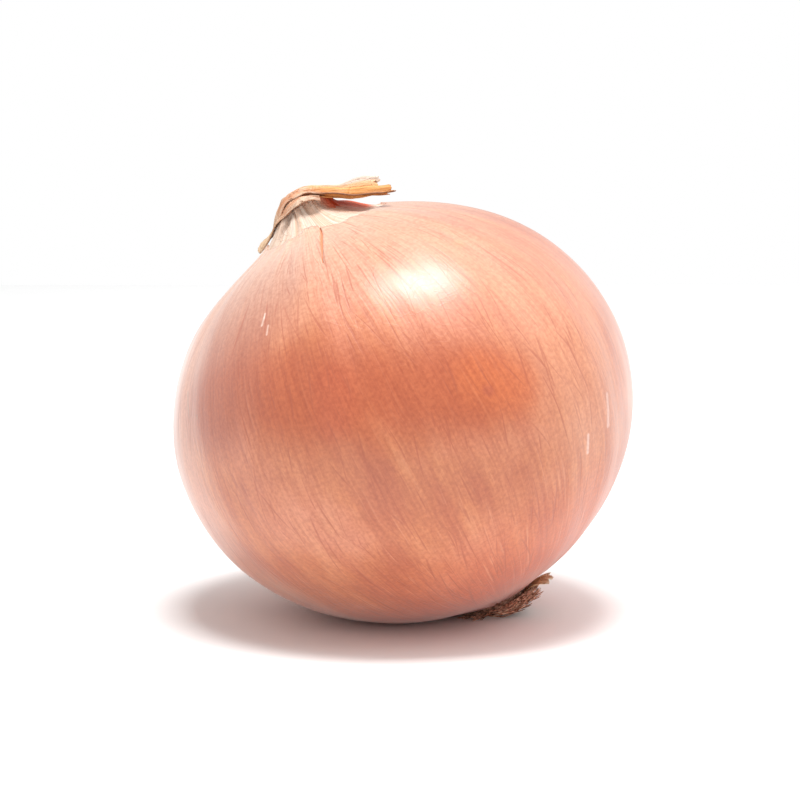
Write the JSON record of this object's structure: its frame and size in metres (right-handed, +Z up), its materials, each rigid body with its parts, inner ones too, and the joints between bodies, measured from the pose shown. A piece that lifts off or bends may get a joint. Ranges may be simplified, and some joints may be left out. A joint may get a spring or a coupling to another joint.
{
  "type": "onion",
  "caption": "Dry yellow onion lying tilted on a small flat spot, with a coppery papery skin, a torn cream neck under a folded dry leaf, and a trimmed root tuft with a husk.",
  "frame": {"origin": "middle of the small flat spot that the bulb rests on", "axes": "+Z up, the neck leans towards -X, and a front view looks along +Y"},
  "size_m": [0.0835, 0.0845, 0.0802],
  "materials": {
    "copper_skin": "thin dry skin with a satin sheen, pale meridional veins and a pinkish copper colour",
    "cream_inner_skin": "matt cream inner skin gathered in fine pleats",
    "dry_leaf": "papery tan leaf with streaks along its length",
    "dry_roots": "dry dark brown rootlets, quite rough",
    "tan_husk": "papery translucent tan husk"
  },
  "bodies": {
    "root": {"bulb": "copper_skin", "neck_collar": "cream_inner_skin", "neck_leaf": "dry_leaf", "root_tuft": "dry_roots", "root_husk": "tan_husk"}
  },
  "joints": []
}
